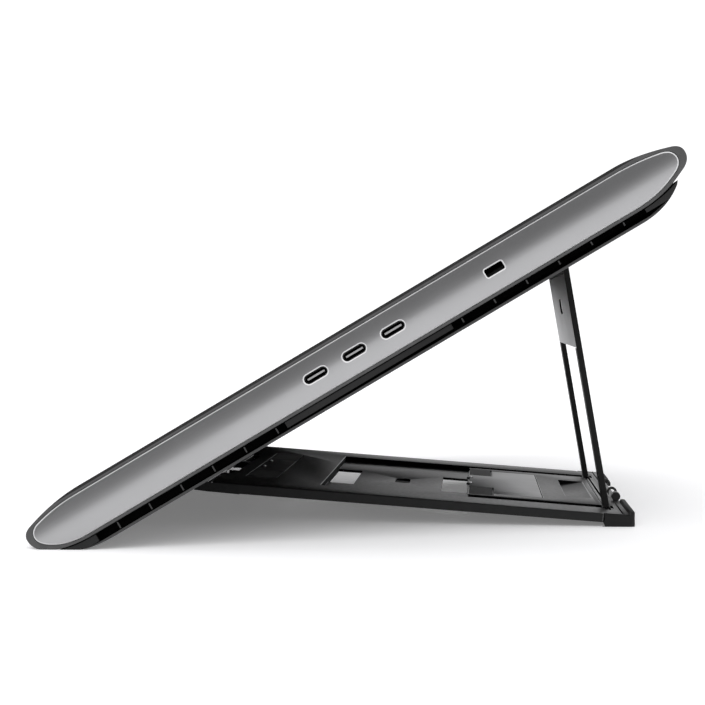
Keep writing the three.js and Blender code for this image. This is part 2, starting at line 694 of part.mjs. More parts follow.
// The base hinge lies on the back of the tablet.
const hinge = new THREE.Vector3(HINGE_S, 0, 0).applyEuler(tablet.rotation).add(tablet.position);

const base = new THREE.Group();
base.position.copy(hinge);
base.rotation.y = BASE_TILT * DEG;
part.add(base);
buildBase(base);

const prop = new THREE.Group();
prop.position.set(PROP_HINGE.u, 0, PROP_HINGE.m);
prop.rotation.y = -(PROP_LEAN + BASE_TILT) * DEG;
base.add(prop);
buildProp(prop);

piece(part, "rear_foot_right", rearFoot(-1), PAD_RUBBER);
piece(part, "rear_foot_left", rearFoot(1), PAD_RUBBER);

export default part;
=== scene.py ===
"""A pen tablet computer on its folding stand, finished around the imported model.

The tablet's own frame has s along it from the front tip, y across it and n up from its back.
The base plate's frame has u back from the base hinge, y across it and m up, square to the plate.
The prop's frame has its z axis up the legs from the prop hinge.
"""

import json
import math

import bmesh
import bpy
from mathutils import Matrix, Vector


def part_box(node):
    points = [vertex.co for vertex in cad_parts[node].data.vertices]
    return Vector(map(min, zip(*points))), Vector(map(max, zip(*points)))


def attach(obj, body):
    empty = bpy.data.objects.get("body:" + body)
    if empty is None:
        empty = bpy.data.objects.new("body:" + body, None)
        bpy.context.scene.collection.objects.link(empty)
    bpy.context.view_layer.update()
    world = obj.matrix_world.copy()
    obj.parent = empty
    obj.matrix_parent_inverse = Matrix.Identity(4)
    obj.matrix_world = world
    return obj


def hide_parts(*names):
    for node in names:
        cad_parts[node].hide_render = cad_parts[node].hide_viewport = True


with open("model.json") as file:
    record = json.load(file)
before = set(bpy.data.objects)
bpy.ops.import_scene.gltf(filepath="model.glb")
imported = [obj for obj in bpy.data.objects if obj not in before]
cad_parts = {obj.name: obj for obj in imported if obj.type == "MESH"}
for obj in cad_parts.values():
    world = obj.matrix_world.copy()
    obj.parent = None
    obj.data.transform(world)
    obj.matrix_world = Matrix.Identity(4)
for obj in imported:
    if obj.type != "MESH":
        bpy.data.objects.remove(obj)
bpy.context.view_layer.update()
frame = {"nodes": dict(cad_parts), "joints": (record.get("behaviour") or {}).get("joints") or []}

MM = 0.001

# ---- The three local frames ---------------------------------------------------------------

JOINTS = {joint["name"]: joint for joint in frame["joints"]}
HINGE_S = 49 * MM  # how far along the tablet the base hinge lies
BASE_TILT = math.radians(4.36)
PROP_LEAN = math.radians(9.7)


def placed(origin, along, normal):
    """The matrix of a local frame with its first axis along and its third axis normal."""
    across = normal.cross(along)
    axes = Matrix((along, across, normal)).transposed().to_4x4()
    return Matrix.Translation(origin) @ axes


tablet_normal = Vector(JOINTS["right_fan_spin"]["axis"])
tablet_along = Vector((tablet_normal.z, 0, -tablet_normal.x))
base_hinge = Vector(JOINTS["base_hinge"]["pos_m"])
prop_hinge = Vector(JOINTS["prop_hinge"]["pos_m"])
base_along = Vector((math.cos(BASE_TILT), 0, -math.sin(BASE_TILT)))
base_normal = Vector((math.sin(BASE_TILT), 0, math.cos(BASE_TILT)))
prop_along = Vector((math.cos(PROP_LEAN), 0, math.sin(PROP_LEAN)))
prop_up = Vector((-math.sin(PROP_LEAN), 0, math.cos(PROP_LEAN)))

TABLET = placed(base_hinge - HINGE_S * tablet_along, tablet_along, tablet_normal)
BASE = placed(base_hinge, base_along, base_normal)
PROP = placed(prop_hinge, prop_along, prop_up)
TILT = math.atan2(tablet_along.z, tablet_along.x)

# ---- Mesh helpers -------------------------------------------------------------------------


class Outline:
    """A closed outline of straight lines and quadratic curves, in millimetres."""

    def __init__(self, x, y):
        self.points = [(x, y)]

    def line(self, x, y):
        self.points.append((x, y))
        return self

    def curve(self, cx, cy, x, y, steps=14):
        x0, y0 = self.points[-1]
        for i in range(1, steps + 1):
            t = i / steps
            a, b, c = (1 - t) ** 2, 2 * t * (1 - t), t * t
            self.points.append((a * x0 + b * cx + c * x, a * y0 + b * cy + c * y))
        return self

    def closed(self):
        """The points, without one that only repeats the first."""
        first, last = self.points[0], self.points[-1]
        repeated = math.dist(first, last) < 1e-6
        return self.points[:-1] if repeated else self.points


def rounded(cx, cy, wide, high, radius=None, steps=8):
    """The points of a rectangle with rounded corners."""
    r = min(wide, high) / 2 if radius is None else radius
    reach_x, reach_y = wide / 2 - r, high / 2 - r
    points = []
    for corner, (sx, sy) in enumerate(((1, -1), (1, 1), (-1, 1), (-1, -1))):
        for i in range(steps + 1):
            angle = math.pi / 2 * (corner - 1 + i / steps)
            x = cx + sx * reach_x + r * math.cos(angle)
            y = cy + sy * reach_y + r * math.sin(angle)
            if not points or math.dist(points[-1], (x, y)) > 1e-6:
                points.append((x, y))
    if math.dist(points[0], points[-1]) < 1e-6:
        points.pop()
    return points


def new_object(name, mesh):
    obj = bpy.data.objects.new(name, mesh)
    bpy.context.scene.collection.objects.link(obj)
    return obj


def sweep(points, low, high, axis="y"):
    """A bmesh prism: an outline swept along one axis. The outline lies in the other two."""
    made = bmesh.new()

    def at(p, depth):
        if axis == "y":
            return Vector((p[0], depth, p[1])) * MM
        if axis == "z":
            return Vector((p[0], p[1], depth)) * MM
        return Vector((depth, p[0], p[1])) * MM

    near = [made.verts.new(at(p, low)) for p in points]
    far = [made.verts.new(at(p, high)) for p in points]
    made.faces.new(near)
    made.faces.new(list(reversed(far)))
    count = len(points)
    for i in range(count):
        j = (i + 1) % count
        made.faces.new((near[j], near[i], far[i], far[j]))
    bmesh.ops.recalc_face_normals(made, faces=made.faces)
    return made


def block(x, y, z):
    """A bmesh box between pairs of limits."""
    corners = [(x[0], y[0]), (x[1], y[0]), (x[1], y[1]), (x[0], y[1])]
    return sweep(corners, z[0], z[1], "z")


def merged(parts):
    """One bmesh holding several, which are freed."""
    whole = bmesh.new()
    for part in parts:
        mesh = bpy.data.meshes.new("part")
        part.to_mesh(mesh)
        part.free()
        whole.from_mesh(mesh)
        bpy.data.meshes.remove(mesh)
    return whole


def as_object(name, made):
    mesh = bpy.data.meshes.new(name)
    made.to_mesh(mesh)
    made.free()
    return new_object(name, mesh)


def freeze(obj):
    """Applies every modifier on the object."""
    graph = bpy.context.evaluated_depsgraph_get()
    mesh = bpy.data.meshes.new_from_object(obj.evaluated_get(graph))
    obj.modifiers.clear()
    old = obj.data
    obj.data = mesh
    bpy.data.meshes.remove(old)
    return obj


def carve(obj, parts, operation="DIFFERENCE"):
    """Cuts the parts out of the object, or joins them to it."""
    tool = as_object("tool", merged(parts))
    change = obj.modifiers.new("carve", "BOOLEAN")
    change.operation = operation
    change.solver = "EXACT"
    change.use_self = True
    change.object = tool
    freeze(obj)
    bpy.data.objects.remove(tool)
    return obj


def soften(obj, width, segments=2, angle=30, edge_slot=-1):
    """Rounds the object's sharp edges; edge_slot gives the rounded strip its own material."""
    while len(obj.data.materials) <= edge_slot:
        obj.data.materials.append(None)
    bevel = obj.modifiers.new("soften", "BEVEL")
    bevel.width = width * MM
    bevel.segments = segments
    bevel.limit_method = "ANGLE"
    bevel.angle_limit = math.radians(angle)
    bevel.use_clamp_overlap = False
    bevel.material = edge_slot
    freeze(obj)
    return smooth(obj)


def slice_at(obj, heights):
    """Cuts extra edges into the object at heights along its z axis, without parting it."""
    made = bmesh.new()
    made.from_mesh(obj.data)
    for height in heights:
        bmesh.ops.bisect_plane(
            made,
            geom=[*made.verts, *made.edges, *made.faces],
            plane_co=Vector((0, 0, height * MM)),
            plane_no=Vector((0, 0, 1)),
        )
    made.to_mesh(obj.data)
    made.free()
    return obj


def smooth(obj, angle=32):
    obj.data.shade_smooth()
    obj.data.set_sharp_from_angle(angle=math.radians(angle))
    return obj


def paint(obj, *materials):
    """Gives the object its materials, keeping each face's own slot."""
    slots = [face.material_index for face in obj.data.polygons]
    obj.data.materials.clear()
    for made in materials:
        obj.data.materials.append(made)
    for face, index in zip(obj.data.polygons, slots):
        face.material_index = min(index, len(materials) - 1)
    return obj


def paint_where(obj, index, test):
    """Moves the faces whose centre and normal pass a test to another material slot."""
    for face in obj.data.polygons:
        if test(face.center / MM, face.normal):
            face.material_index = index
    return obj


def settle(obj, matrix, body, slot_name, *nodes):
    """Puts a piece made in a local frame in its place, on its body, instead of its CAD nodes."""
    obj.data.transform(matrix)
    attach(obj, body)
    if nodes:
        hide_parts(*nodes)
    return obj


# ---- Materials ----------------------------------------------------------------------------


class Shader:
    """A material's node tree, with short calls for the nodes that the finishes share."""

    def __init__(self, name, roughness, metallic=0.0):
        self.material = bpy.data.materials.new(name)
        self.material.use_nodes = True
        self.nodes = self.material.node_tree.nodes
        self.links = self.material.node_tree.links
        self.surface = self.nodes["Principled BSDF"]
        self.surface.inputs["Roughness"].default_value = roughness
        self.surface.inputs["Metallic"].default_value = metallic
        self.coords = self.nodes.new("ShaderNodeTexCoord")

    def stretched(self, x, y, z):
        """Object coordinates scaled apart along each axis."""
        mapping = self.nodes.new("ShaderNodeMapping")
        mapping.inputs["Scale"].default_value = (x, y, z)
        self.links.new(self.coords.outputs["Object"], mapping.inputs["Vector"])
        return mapping.outputs["Vector"]

    def noise(self, scale, detail=3.0, vector=None):
        node = self.nodes.new("ShaderNodeTexNoise")
        node.inputs["Scale"].default_value = scale
        node.inputs["Detail"].default_value = detail
        source = self.coords.outputs["Object"] if vector is None else vector
        self.links.new(source, node.inputs["Vector"])
        return node.outputs["Fac"]

    def cells(self, scale):
        node = self.nodes.new("ShaderNodeTexVoronoi")
        node.inputs["Scale"].default_value = scale
        self.links.new(self.coords.outputs["Object"], node.inputs["Vector"])
        return node.outputs["Distance"]

    def ramp(self, value, low, high, start=0.3, end=0.7):
        """A colour or a grey that follows a value from low to high."""
        node = self.nodes.new("ShaderNodeValToRGB")
        node.color_ramp.elements[0].position = start
        node.color_ramp.elements[1].position = end
        node.color_ramp.elements[0].color = colour(low)
        node.color_ramp.elements[1].color = colour(high)
        self.links.new(value, node.inputs["Fac"])
        return node.outputs["Color"]

    def set(self, socket, value):
        self.links.new(value, self.surface.inputs[socket])

    def bump(self, value, strength, distance_mm):
        node = self.nodes.new("ShaderNodeBump")
        node.inputs["Strength"].default_value = strength
        node.inputs["Distance"].default_value = distance_mm * MM
        self.links.new(value, node.inputs["Height"])
        last = self.surface.inputs["Normal"].links
        if last:
            self.links.new(last[0].from_socket, node.inputs["Normal"])
        self.links.new(node.outputs["Normal"], self.surface.inputs["Normal"])


def colour(value):
    """A linear grey, or a linear colour, as four numbers."""
    if isinstance(value, (int, float)):
        return (value, value, value * 1.01, 1)
    return (*value, 1)


def anodised(name, low, high, roughness, grain=0.25):
    """Bead-blasted, anodised aluminium: a fine even grain with faint cloudiness."""
    s = Shader(name, roughness, 1.0)
    s.set("Base Color", s.ramp(s.noise(18, 4), low, high))
    s.set("Roughness", s.ramp(s.noise(60, 3), roughness - 0.02, roughness + 0.02))
    s.bump(s.cells(5200), grain, 0.02)
    s.surface.inputs["Specular IOR Level"].default_value = 0.5
    return s.material


def coated(name, low, high, roughness, metallic=0.3, grain=0.3):
    """Painted or dark anodised metal with a fine orange peel and a few duller patches."""
    s = Shader(name, roughness, metallic)
    s.set("Base Color", s.ramp(s.noise(300, 3), low, high))
    s.set("Roughness", s.ramp(s.noise(700, 2), roughness - 0.03, roughness + 0.03))
    s.bump(s.noise(2600, 2), grain, 0.03)
    s.surface.inputs["Specular IOR Level"].default_value = 0.18
    return s.material


def moulded(name, low, high, roughness, texture_scale=3400, grain=0.5, specular=0.2):
    """Moulded plastic with a fine spark-eroded texture."""
    s = Shader(name, roughness)
    s.set("Base Color", s.ramp(s.noise(30, 3), low, high))
    s.set("Roughness", s.ramp(s.noise(140, 4), roughness - 0.06, roughness + 0.06))
    s.bump(s.cells(texture_scale), grain, 0.04)
    s.surface.inputs["Specular IOR Level"].default_value = specular
    return s.material


def rubber(name, low, high):
    s = Shader(name, 0.75)
    s.set("Base Color", s.ramp(s.noise(45, 5), low, high))
    s.bump(s.noise(1500, 3), 0.5, 0.06)
    return s.material


def brushed(name, low, high, roughness, x=1, y=60, z=60):
    """Brushed or turned steel: the scratches run along the axis that is stretched least."""
    s = Shader(name, roughness, 1.0)
    lines = s.noise(40, 4, s.stretched(x, y, z))
    s.set("Base Color", s.ramp(lines, low, high))
    s.set("Roughness", s.ramp(lines, roughness - 0.06, roughness + 0.1))
    s.bump(lines, 0.15, 0.02)
    return s.material


def glass_face(name):
    """The etched front glass, switched off: near black, with a soft anti-glare sheen."""
    s = Shader(name, 0.16)
    s.set("Base Color", s.ramp(s.noise(8, 2), 0.006, 0.009))
    s.set("Roughness", s.ramp(s.noise(300, 3), 0.13, 0.2))
    s.bump(s.noise(4200, 2), 0.06, 0.01)
    s.surface.inputs["Coat Weight"].default_value = 0.4
    s.surface.inputs["Coat Roughness"].default_value = 0.05
    return s.material


def circuit(name):
    """A green board with copper tracks under the mask."""
    s = Shader(name, 0.5)
    tracks = s.nodes.new("ShaderNodeTexBrick")
    tracks.inputs["Scale"].default_value = 160
    tracks.inputs["Mortar Size"].default_value = 0.06
    tracks.inputs["Color1"].default_value = (0.010, 0.060, 0.030, 1)
    tracks.inputs["Color2"].default_value = (0.014, 0.080, 0.040, 1)
    tracks.inputs["Mortar"].default_value = (0.05, 0.17, 0.07, 1)
    s.links.new(s.coords.outputs["Object"], tracks.inputs["Vector"])
    s.set("Base Color", tracks.outputs["Color"])
    s.bump(tracks.outputs["Fac"], 0.2, 0.03)
    return s.material


PANEL = anodised("panel_aluminium", 0.395, 0.415, 0.30, 0.03)
# Painted highlight: the chamfers are a pale, non-metal grey so that they show as bright lines.
PANEL_EDGE_HIGHLIGHT = coated("panel_chamfer_highlight", 0.50, 0.55, 0.3, 0.0, 0.05)
PLATE = anodised("grey_plate", 0.25, 0.27, 0.45)
# Partly painted reflection: the cross plate is painted a light grey, which stands in part for the
# sheen it shows at a grazing view.
CROSS = anodised("cross_plate_grey_and_sheen", 0.44, 0.47, 0.42)
FRAME = coated("frame_coating", 0.016, 0.020, 0.42, 0.2)
FRAME_RIM = coated("frame_rim", 0.055, 0.065, 0.42, 0.2)
DECK = coated("base_coating", 0.011, 0.013, 0.42, 0.2)
# Painted highlight: the base plate's rounded edges are painted far paler than its coating.
DECK_EDGE_HIGHLIGHT = coated("base_edge_highlight", 0.16, 0.18, 0.3, 0.8, 0.1)
LEG = coated("leg_coating", 0.006, 0.008, 0.5, 0.1)
BLACK = moulded("black_plastic", 0.010, 0.013, 0.5)
# Painted shade: a near-black laid on walls and hollows that no light reaches, inside the cover, in
# the base plate's cuts and in the prop's slot.
PAINTED_SHADE = moulded("painted_shade_black", 0.0005, 0.001, 0.9, specular=0.1)
GREY_PLASTIC_AND_HIGHLIGHT = moulded("dark_plastic", 0.03, 0.035, 0.5)
# Painted highlight: the port tongues are a pale grey that stands in for their lit edges.
TONGUE = moulded("port_tongue", 0.22, 0.26, 0.4)
PAD = rubber("pad_rubber", 0.010, 0.014)
FOOT = moulded("foot_rubber", 0.006, 0.008, 0.5, 2200)
# Painted highlight for the screws' domed tops.
SCREW_HIGHLIGHT = coated("screw_dome_highlight", 0.75, 0.80, 0.3, 0.2, 0.05)
DARK_STEEL = brushed("dark_steel", 0.03, 0.05, 0.35)
COPPER = brushed("copper", (0.45, 0.2, 0.1), (0.6, 0.3, 0.16), 0.35, 60, 1, 60)
GLASS = glass_face("screen_glass")
BOARD = circuit("circuit_board")
CELL = moulded("battery_cell", (0.05, 0.055, 0.065), (0.07, 0.075, 0.09), 0.5, 900, 0.2)

# ---- Tablet -------------------------------------------------------------------------------

HALF_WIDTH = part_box("chassis_frame")[1].y / MM
THICK = 21.4
DEEP = 262
CHASSIS_BOTTOM = 4.1
GLASS_EDGE = 20.4  # the frame's colour changes here, at the lower edge of its rounded rim: darker above, paler below
GAP = 0.3
REST_LINE = 10.5  # where the table's surface would cross the front of the tablet
SLOPE = math.tan(TILT)
PANEL_SEAT = 207.3  # the end panels' pockets reach in to here
USB_PORTS = (115.3, 130.6, 146.0)
PORT_HEIGHT = 12.3
PORT_ROOM = 5.2  # half the length of the opening behind a port
LOCK_ROOM = 5.6
ROOM_BACK = -204.5
LOCK = {"s": 186.2, "n": 12.35, "long": 7.0, "high": 3.0, "corner": 0.6}


def rest_line(s):
    """The height of the flat front edge that the tablet stands on."""
    return REST_LINE - SLOPE * s


def chassis_outline():
    """The frame's side view, in s and n: a blunt front, a flat top and a rounded rear."""
    shape = Outline(7, rest_line(7)).line(3.4, rest_line(3.4))
    shape.curve(0, 10.2, 0, 14.4).curve(0.3, 16.6, 3, 17.6).curve(14.5, THICK, 25, THICK)
    shape.line(238.4, THICK).curve(247.5, 21.3, 259, 17.5)
    shape.curve(DEEP, 16.4, DEEP, 13.8).curve(DEEP, 10.8, 258.8, 9.1).line(254.8, 7.3)
    shape.curve(247.5, CHASSIS_BOTTOM, 238, CHASSIS_BOTTOM).line(21, CHASSIS_BOTTOM)
    shape.curve(12.5, CHASSIS_BOTTOM, 7, rest_line(7))
    return shape.closed()


def cover_outline():
    """The back cover's side view, which closes the frame from below."""
    top = CHASSIS_BOTTOM - GAP
    shape = Outline(8.1, rest_line(8.1)).line(13.6, rest_line(13.6)).curve(18, 0, 28.5, 0)
    shape.line(238, 0).curve(247.5, 0.2, 254, 5.4).line(255, 6.7).line(253.4, 6.1)
    shape.curve(247, top, 238, top).line(21, top).curve(12.8, top, 8.1, rest_line(8.1))
    return shape.closed()


def panel_outline(grow):
    """An end panel's outline, a little larger all round where asked."""
    top, bottom, front, rear = 19.2 + grow, 5.5 - grow, 3.2 - grow, 258.4 + grow
    shape = Outline(20, bottom).line(238, bottom)
    shape.curve(246.5, bottom, 253.6 + 0.5 * grow, 8.8 - grow)
    shape.curve(rear, 10.6 - grow, rear, 13.4)
    shape.curve(rear, 16.3 + grow, 254.6 + 0.5 * grow, 17.3 + grow)
    shape.curve(246, top, 236, top).line(22, top)
    shape.curve(13.5, top, 5.6 - 0.5 * grow, 16.8 + grow)
    shape.curve(front - 0.6, 15.6, front, 12.6)
    shape.curve(3.9 - grow, 10.3 - grow, 8.2 - 0.5 * grow, 8 - grow)
    shape.curve(12.6, bottom, 20, bottom)
    return shape.closed()


def make_chassis():
    """The frame, hollowed from below for the works and from above for the display and glass."""
    half = HALF_WIDTH
    body = as_object("tablet_frame", sweep(chassis_outline(), -half, half))
    works = block((14, 248), (-205.5, 205.5), (2, 15))
    display = block((30.5, 232.9), (-197, 197), (16.2, 23))
    glass_seat = block((24.7, 238.7), (-203.3, 203.3), (20, 23))
    panel = panel_outline(PANEL_GROWTH + 0.1)
    panels = [sweep(panel, -half - 1, -PANEL_SEAT), sweep(panel, PANEL_SEAT, half + 1)]
    for pocket in (works, display, glass_seat, *panels):
        carve(body, [pocket])
    band = (PORT_HEIGHT - 2.4, PORT_HEIGHT + 2.4)
    rooms = [(s, PORT_ROOM) for s in USB_PORTS] + [(LOCK["s"], LOCK_ROOM)]
    carve(body, [block((s - room, s + room), (-half, ROOM_BACK), band) for s, room in rooms])
    soften(body, 0.35, 3)
    slice_at(body, [GLASS_EDGE])
    paint_where(body, 1, lambda at, _: at.z < GLASS_EDGE)
    paint(body, FRAME, FRAME_RIM)
    return settle(body, TABLET, "tablet", "dark_metal", "chassis_frame")


CROWN = 1.1  # how far the end panels' edges fall away from their ridge
CROWN_LIFT = 0.8  # how far the ridge stands out past the frame
PANEL_GROWTH = 0.25
PANEL_INNER = 207.6
PANEL_LOW, PANEL_HIGH = 5.5, 19.5
PANEL_SLICES = 24
BUTTON_HOLES = ((215, 12), (190, 9), (178, 9))  # place and length of each button


def crowned(obj, side):
    """Bows an end panel's outer face: two flats, from top and bottom, meet in a soft ridge."""
    ridge, reach, softness = 12.1, 6.9, 0.8
    rest = math.hypot(1, softness) - softness
    for vertex in obj.data.vertices:
        if vertex.co.y * side > (HALF_WIDTH - 0.7) * MM:
            lean = (vertex.co.z / MM - ridge) / reach
            fall = CROWN * (math.hypot(lean, softness) - softness) / rest
            vertex.co.y += side * (CROWN_LIFT - fall) * MM
    return obj


def make_panel(side):
    """An end panel, sliced into thin strips from top to bottom so that it can be bowed."""
    word = "right" if side < 0 else "left"
    y = sorted((side * PANEL_INNER, side * HALF_WIDTH))
    panel = as_object(f"end_panel_{word}", sweep(panel_outline(PANEL_GROWTH), *y))
    if side < 0:
        outlines = [rounded(s, PORT_HEIGHT, 8.9, 3.3) for s in USB_PORTS]
        outlines.append(rounded(LOCK["s"], LOCK["n"], LOCK["long"], LOCK["high"], LOCK["corner"]))
    else:
        outlines = [rounded(s, PORT_HEIGHT, wide + 0.6, 3.6) for s, wide in BUTTON_HOLES]
    through = sorted((side * 205, side * 212))
    carve(panel, [sweep(outline, *through) for outline in outlines])
    # The chamfer strip takes its own slot, painted as a painted highlight.
    soften(panel, 0.42, 1, 40, edge_slot=1)
    step = (PANEL_HIGH - PANEL_LOW) / PANEL_SLICES
    slice_at(panel, [PANEL_LOW + step * i for i in range(1, PANEL_SLICES)])
    crowned(panel, side)
    smooth(panel, 25)
    paint(panel, PANEL, PANEL_EDGE_HIGHLIGHT)
    return settle(panel, TABLET, "tablet", "panel_aluminium", f"side_panel_{word}")


VENT_ROWS = ((21.8, 97.7, 30.3), (164.0, 240.3, 168.1))  # start, end and first rib of each row
VENT_BAND = (1.1, 5)  # the windows' height
RIB_PITCH = 12.75
RIB_THICK = 0.6
RIB_SETBACK = 0.7
LOWER_LIP = 0.9  # below this height the cover's wall is painted paler, a painted highlight along its lower edge
COVER_WALL = 2
COVER_FLOOR = 1.1
SCREEN_Y = (203.6, 204.6)  # the screen behind the windows, painted near-black as painted shade
BAY_STEPS = ((43.5, 5.2), (155, 7.6))  # where each step of the stand's bay starts, and its depth
BAY_REAR = 215.4
BAY_HALF = 122
BAY_WALL = 1.5
BAY_ROOF = 1


def vent_windows(side):
    """The windows through the cover's wall, and a shallow trough that sets their ribs back."""
    y = sorted((side * 205, side * 210))
    trough = sorted((side * (HALF_WIDTH - RIB_SETBACK), side * 210))
    parts = [block((start, end), trough, VENT_BAND) for start, end, _ in VENT_ROWS]
    for start, end, rib in VENT_ROWS:
        while rib < end:
            parts.append(block((start, rib - RIB_THICK / 2), y, VENT_BAND))
            start = rib + RIB_THICK / 2
            rib += RIB_PITCH
        parts.append(block((start, end), y, VENT_BAND))
    return parts


def make_cover():
    """The back shell, with the stand's stepped bay, the vent windows and the screens behind, its
    inside painted near-black as painted shade.
    """
    half = HALF_WIDTH
    cover = as_object("back_shell", sweep(cover_outline(), -half, half))
    cavity_y = (-half + COVER_WALL, half - COVER_WALL)
    carve(cover, [block((15, 247), cavity_y, (COVER_FLOOR, 9))])
    walls_y = (-BAY_HALF - BAY_WALL, BAY_HALF + BAY_WALL)
    for start, depth in BAY_STEPS:
        walls_s = (start - BAY_WALL, BAY_REAR + BAY_WALL)
        carve(cover, [block(walls_s, walls_y, (0.5, depth + BAY_ROOF))], "UNION")
    for start, depth in BAY_STEPS:
        carve(cover, [block((start, BAY_REAR), (-BAY_HALF, BAY_HALF), (-1, depth))])
    for side in (-1, 1):
        for window in vent_windows(side):
            carve(cover, [window])
        screen = sorted(side * y for y in SCREEN_Y)
        carve(cover, [block((20, 242), screen, (0.6, 9))], "UNION")
    soften(cover, 0.2, 2)
    slice_at(cover, [LOWER_LIP])
    inside, rib_face = half - 0.35, half - RIB_SETBACK - 0.1
    above_floor = COVER_FLOOR + 0.05
    # Painted shade: every face inside the shell, the screens and the window walls take the
    # near-black.
    paint_where(cover, 1, lambda at, _: above_floor < at.z < 9 and abs(at.y) < inside)
    # Painted highlight: the strip below the lip height is painted paler.
    paint_where(cover, 2, lambda at, _: at.z < LOWER_LIP)

    # Painted light on the ribs: their lower part is painted paler as if lit, while their upper part
    # keeps the painted shade.
    def on_rib(at, way):
        return rib_face < abs(at.y) < inside and abs(way.y) > 0.9 and at.z < 3.7

    paint_where(cover, 2, on_rib)
    paint(cover, BLACK, PAINTED_SHADE, GREY_PLASTIC_AND_HIGHLIGHT)
    return settle(cover, TABLET, "tablet", "black_plastic", "back_cover")


def make_glass():
    glass = as_object("drawing_glass", sweep(rounded(131.7, 0, 213.4, 406, 3), 20.3, THICK, "z"))
    soften(glass, 0.25, 3)
    paint(glass, GLASS)
    return settle(glass, TABLET, "tablet", "screen_glass", "front_glass")


def make_port(number, s):
    """A port's steel shell, closed at its inner end, painted dark steel as painted shade in the
    opening. The CAD tongue stays inside it.
    """
    outer, inner = rounded(s, PORT_HEIGHT, 8.7, 3.1), rounded(s, PORT_HEIGHT, 8.1, 2.5)
    shell = as_object(f"port_shell_{number}", sweep(outer, -207.7, -201))
    carve(shell, [sweep(inner, -210, -202)])
    soften(shell, 0.08, 2)
    paint(shell, DARK_STEEL)
    settle(shell, TABLET, "tablet", "steel", f"usb_c_shell_{number}")


# ---- Base plate ---------------------------------------------------------------------------

BASE_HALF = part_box("base_plate")[1].y / MM
BASE_TOP = 0.93
BASE_BOTTOM = -2.17
PLATE_SPAN = (3.4, 154.6)
REAR_HALF = 113  # half the width of the ledge behind the grooves
TAIL_HALF = 56.2  # and of the tail between the feet
UNDERSIDE = -1.5  # what lies below this height belongs to the underside
BELLY = 0.8  # how far the underside is lowered at the hinge
BELLY_TAPER = 0.0028  # how much less it is lowered, for each millimetre back from there
RECESS_FLOOR = -1.65
INLAY_FLOOR = 0.03
KNUCKLE_INNER = 66
RECESS = (44.1, 102.8)
GROOVE = (75.3, 88.7)
HOLES = ((44.1, 54.7), (91.3, 102.3))
HOLE_HALF = 39
TONGUE_HALF = 72.3
REAR_TONGUE_HALF = 63.3
POCKET = {"front": 142.9, "rear": 154, "deep": -1.75, "shallow": 0.7, "half": 46}


def both_sides(low, high):
    """A span to the left of the middle line, and its mirror image."""
    return ((low, high), (-high, -low))


def plate_profile(half, round_top):
    """The plate's cross-section from side to side, with rounded top edges."""
    shape = Outline(-half + 0.3, BASE_BOTTOM).line(half - 0.3, BASE_BOTTOM)
    shape.line(half, BASE_BOTTOM + 0.3).line(half, BASE_TOP - round_top)
    shape.curve(half, BASE_TOP, half - round_top, BASE_TOP, 4).line(-half + round_top, BASE_TOP)
    shape.curve(-half, BASE_TOP, -half, BASE_TOP - round_top, 4)
    shape.line(-half, BASE_BOTTOM + 0.3)
    return shape.closed()


def lower_belly(plate):
    """Makes the plate a little deeper below, most at its front."""
    for vertex in plate.data.vertices:
        if vertex.co.z < UNDERSIDE * MM:
            vertex.co.z -= (BELLY - BELLY_TAPER * vertex.co.x / MM) * MM


def add_front_edge(plate):
    """The barrels along the hinge line, their webs, and a lip below the two outer barrels."""
    web, web_depth = (0, 4), (-2.1, 0.9)
    for y in both_sides(KNUCKLE_INNER, BASE_HALF):
        carve(plate, [sweep(rounded(0, 0, 5.2, 5.2), *y)], "UNION")
        carve(plate, [block(web, y, web_depth)], "UNION")
        lip = [(-2.8, -2.0), (-2.8, -2.7), (8, -2.95), (8, -1.0)]
        carve(plate, [sweep(lip, *y)], "UNION")
    barrel = (3, 49)
    carve(plate, [sweep(rounded(0, 0, 4.4, 4.4), *barrel)], "UNION")
    carve(plate, [block(web, barrel, web_depth)], "UNION")


def plate_cuts():
    """What is cut from the plate: notches, grooves, holes, the rod's channel and the inlays."""
    through, deck, inlay = (-4, 4), (RECESS_FLOOR, 4), (INLAY_FLOOR, 4)
    cuts = [block((2, 6), y, through) for y in both_sides(49.6, 65.7)]
    cuts += [block((2, 7.2), (-49, 3), through), block((4, 7.2), (5, 49), deck)]
    cuts += [block((RECESS[0], 155.5), y, deck) for y in both_sides(*GROOVE)]
    cuts += [block((154.8, 160.4), y, through) for y in both_sides(*GROOVE)]
    rod_channel = block((156.3, 158.9), (-97, 97), (-1.5, 4))
    recess = block(RECESS, (-GROOVE[1], GROOVE[1]), deck)
    holes = [block(hole, (-HOLE_HALF, HOLE_HALF), through) for hole in HOLES]
    slot = sweep(rounded(74.2, 0, 6.2, 24), *through, "z")
    rear_strip = block((101.8, 113.2), (-TONGUE_HALF, TONGUE_HALF), inlay)
    rear_tongue = block((112.9, 133.1), (-REAR_TONGUE_HALF, REAR_TONGUE_HALF), inlay)
    front_tongue = block((12.7, 25.3), (-TONGUE_HALF, TONGUE_HALF), inlay)
    front, rear = POCKET["front"], POCKET["rear"]
    ramp = [(front, POCKET["deep"]), (rear, POCKET["shallow"]), (rear, 4), (front, 4)]
    pocket = sweep(ramp, -POCKET["half"], POCKET["half"])
    return [*cuts, rod_channel, recess, *holes, slot, rear_strip, rear_tongue, front_tongue, pocket]


